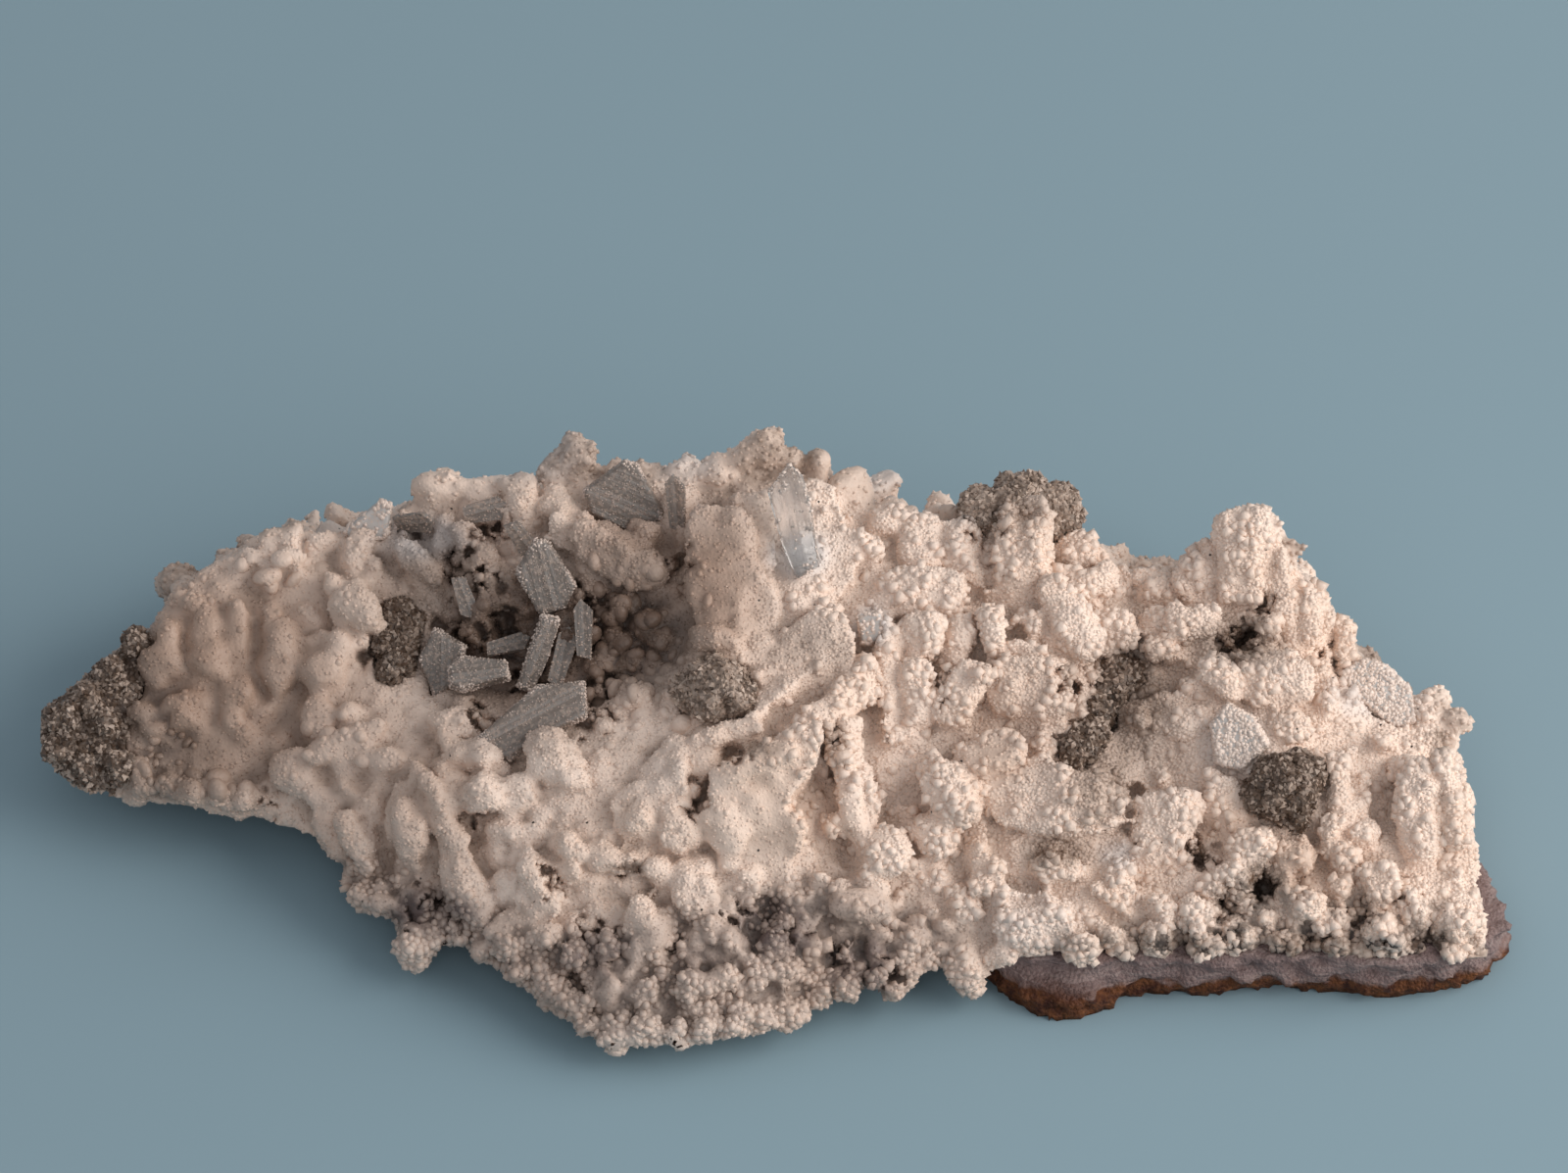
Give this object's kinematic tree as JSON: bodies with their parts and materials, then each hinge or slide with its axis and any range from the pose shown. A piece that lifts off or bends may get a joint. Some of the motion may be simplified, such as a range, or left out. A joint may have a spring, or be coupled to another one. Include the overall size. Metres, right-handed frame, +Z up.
{
  "type": "gypsum mineral specimen",
  "caption": "Rough gypsum specimen: a low rock slab buried under a thick sugar-coated crust of white blades, with dark sulphide nodules and clear selenite plates",
  "frame": {"origin": "a point in the middle of the rock slab's flat underside, level with the surface it rests on", "axes": "+X along the long side, towards the thick right end; +Y away from the front; +Z up"},
  "size_m": [0.1865, 0.0881, 0.0466],
  "materials": {
    "rock": "rough broken brown rock",
    "gypsum": "waxy white, coated with sugary grains",
    "sulphide": "dark, finely crystalline and sparkling",
    "selenite": "clear, faintly grey-blue"
  },
  "bodies": {
    "root": {"rock_slab": "rock", "gypsum_crust": "gypsum", "sulphide_nose": "sulphide", "sulphide_left": "sulphide", "sulphide_middle": "sulphide", "sulphide_back": "sulphide", "sulphide_pocket": "sulphide", "sulphide_right": "sulphide", "selenite_crown": "selenite", "selenite_back_left": "selenite", "selenite_fan": "selenite", "selenite_long": "selenite", "selenite_rhomb": "selenite", "selenite_block": "selenite", "selenite_dusty": "selenite", "selenite_striped": "selenite", "selenite_small": "selenite", "selenite_slope": "selenite", "selenite_patch": "selenite"}
  },
  "joints": []
}
